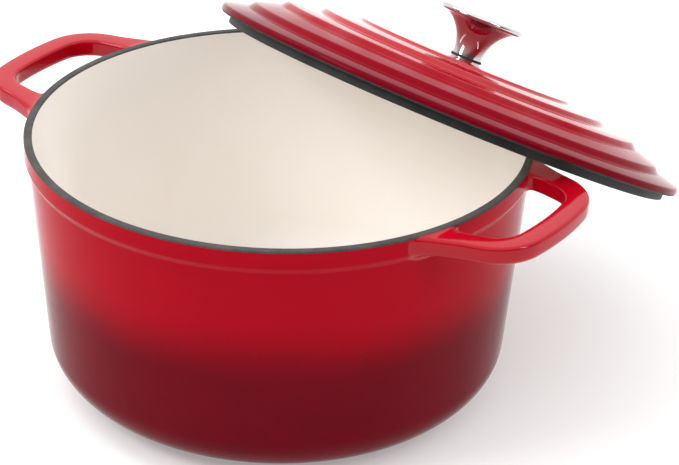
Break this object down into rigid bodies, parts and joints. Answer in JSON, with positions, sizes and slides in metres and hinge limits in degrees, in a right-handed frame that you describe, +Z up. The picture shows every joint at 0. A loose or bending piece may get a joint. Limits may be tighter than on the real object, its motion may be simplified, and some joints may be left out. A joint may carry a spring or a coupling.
{
  "type": "enamelled cast iron dutch oven",
  "caption": "Round enamelled cast iron pot with two loop handles; its stepped lid with a steel knob leans on the rim and lifts off.",
  "frame": {"origin": "centre of the foot ring, on the surface the pot stands on", "axes": "+Z up along the pot's axis; +X out through the front loop handle; the lid leans towards +Y, 77 degrees round from +X"},
  "size_m": [0.3344, 0.3523, 0.1919],
  "materials": {
    "bare_iron": "as cast, ground on the foot ring",
    "red_enamel": "glossy fired enamel, bright red fading to burgundy low down",
    "red_enamelled_iron": "cast iron under glossy red enamel",
    "cream_enamel": "satin-gloss fired enamel",
    "matt_black_enamel": "matt fired enamel, fine grain",
    "polished_steel": "mirror-polished stainless steel",
    "plain_steel": "plain stainless steel",
    "gasket_rubber": "matt"
  },
  "bodies": {
    "pot": {"pot_casting": "bare_iron", "pot_outer_enamel": "red_enamel", "pot_inner_enamel": "cream_enamel", "pot_rim_coat": "matt_black_enamel", "handle_front": "red_enamelled_iron", "handle_rear": "red_enamelled_iron"},
    "lid": {"lid_casting": "bare_iron", "lid_outer_enamel": "red_enamel", "lid_inner_enamel": "cream_enamel", "lid_seat_coat": "matt_black_enamel", "knob_screw": "plain_steel", "flat_washer": "plain_steel", "lock_washer": "plain_steel"},
    "knob": {"knob_bell": "polished_steel", "knob_cap": "polished_steel", "knob_insert": "plain_steel", "knob_gasket": "gasket_rubber"}
  },
  "joints": [
    {"name": "lid_lift", "type": "slide", "parent": "pot", "child": "lid", "axis": [0, 0, 1], "range_m": [0, 0.16]},
    {"name": "knob_turn", "type": "hinge", "parent": "lid", "child": "knob", "pos_m": [0.0352, 0.106, 0.1253], "axis": [0.1094, 0.4739, 0.8738], "continuous": true}
  ]
}
